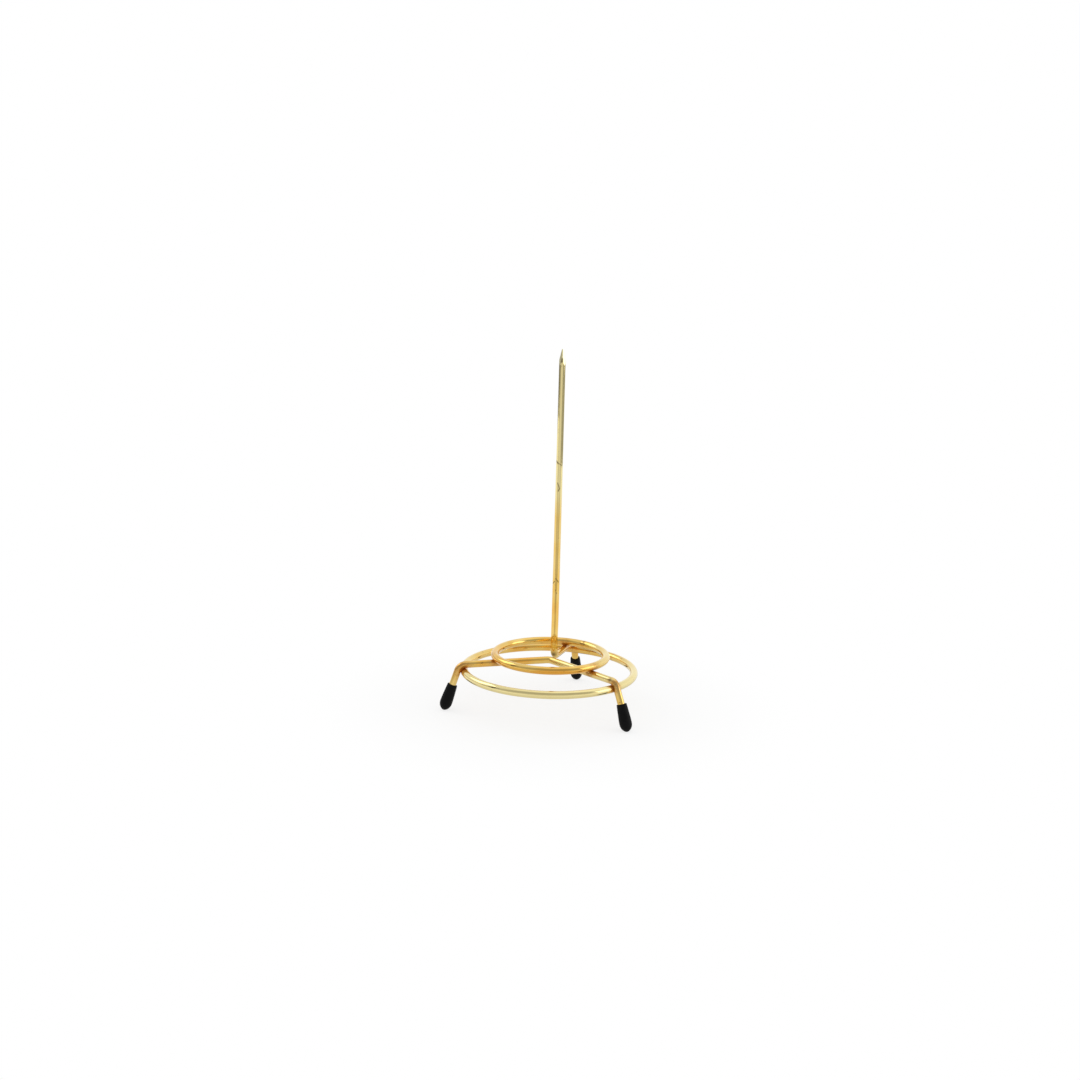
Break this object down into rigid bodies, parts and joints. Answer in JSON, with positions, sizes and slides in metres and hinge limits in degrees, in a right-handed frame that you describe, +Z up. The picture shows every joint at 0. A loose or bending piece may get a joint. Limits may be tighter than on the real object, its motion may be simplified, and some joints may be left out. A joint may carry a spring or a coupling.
{
  "type": "bill spike",
  "caption": "Welded wire bill spike: a pointed upright on a ring base with splayed wire legs in black vinyl feet, for spearing paid bills and order slips.",
  "frame": {"origin": "on the table, under the middle of the outline box", "axes": "+Z up along the spike, +Y towards the rear leg, x = 0 is the mirror plane"},
  "size_m": [0.083, 0.0834, 0.1505],
  "materials": {
    "wire": "bright brass plate on drawn steel wire, darker at the welds",
    "vinyl": "soft black dip-moulded vinyl, semi-gloss"
  },
  "bodies": {
    "root": {"spike_wire": "wire", "front_leg_wire": "wire", "base_ring": "wire", "top_ring": "wire", "foot_left": "vinyl", "foot_right": "vinyl", "foot_rear": "vinyl"}
  },
  "joints": []
}
